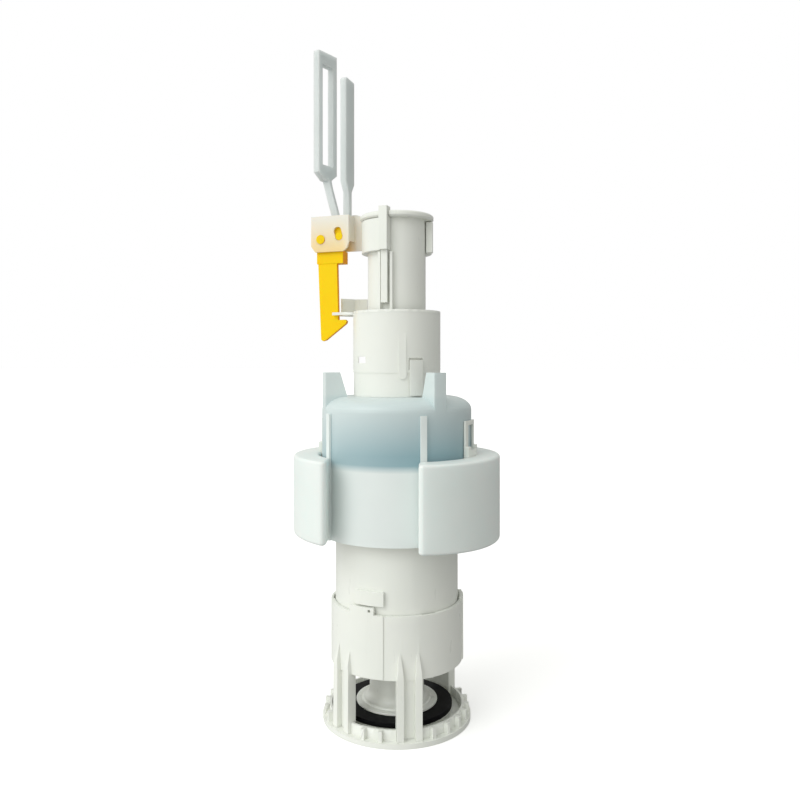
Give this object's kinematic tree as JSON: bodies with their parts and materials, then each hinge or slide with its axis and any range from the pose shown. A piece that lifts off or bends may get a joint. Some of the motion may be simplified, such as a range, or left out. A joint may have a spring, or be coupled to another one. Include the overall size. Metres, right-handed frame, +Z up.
{
  "type": "toilet flush valve",
  "caption": "Dual-flush toilet outlet valve with bayonet basket, translucent bell, C-shaped float, overflow tube, pull paddles and yellow half-flush catch.",
  "frame": {"origin": "centre of the outlet at the underside of the base ring", "axes": "+Z up along the overflow tube, -Y the front between the two front legs, +X to the right"},
  "size_m": [0.117, 0.1138, 0.382],
  "materials": {
    "white_plastic": "semi-gloss injection moulded",
    "milky_bell": "translucent, smooth",
    "float_plastic": "satin, slightly translucent",
    "frosted_plastic": "frosted translucent",
    "yellow_plastic": "satin",
    "black_rubber": "smooth"
  },
  "bodies": {
    "basket": {"base_ring": "white_plastic", "valve_seat": "white_plastic", "outlet_gasket": "black_rubber", "basket": "white_plastic"},
    "housing": {"outer_tube": "white_plastic", "guide_spider": "white_plastic", "bell": "milky_bell", "guide_sleeve": "white_plastic", "neck_bush": "white_plastic", "catch_fork": "white_plastic"},
    "half_flush_float": {"c_float": "float_plastic", "float_latches": "white_plastic"},
    "lift": {"overflow_tube": "white_plastic", "plunger": "white_plastic", "valve_seal": "black_rubber", "seal_clamp": "white_plastic", "stem_o_ring": "black_rubber", "inner_float": "white_plastic", "float_clip": "white_plastic", "lift_clip": "white_plastic", "lift_bracket": "frosted_plastic", "solid_paddle": "frosted_plastic", "pivot_pin": "yellow_plastic"},
    "hook": {"hook_lever": "yellow_plastic", "follower_pin": "yellow_plastic"},
    "half_paddle": {"slotted_paddle": "frosted_plastic"}
  },
  "joints": [
    {"name": "bayonet_turn", "type": "hinge", "parent": "basket", "child": "housing", "pos_m": [0, 0, 0.06], "axis": [0, 0, 1], "range_deg": [0, 29]},
    {"name": "float_rise", "type": "slide", "parent": "housing", "child": "half_flush_float", "axis": [0, 0, 1], "range_m": [0, 0.02]},
    {"name": "valve_lift", "type": "slide", "parent": "housing", "child": "lift", "axis": [0, 0, 1], "range_m": [0, 0.02]},
    {"name": "hook_swing", "type": "hinge", "parent": "lift", "child": "hook", "pos_m": [-0.0436, -0.006, 0.2723], "axis": [0, -1, 0], "range_deg": [0, 7]},
    {"name": "paddle_pull", "type": "slide", "parent": "lift", "child": "half_paddle", "axis": [0, 0, 1], "range_m": [0, 0.0014]}
  ],
  "couplings": [
    {"joint": "paddle_pull", "follows": "hook_swing", "m_per_rad": 0.0115}
  ]
}
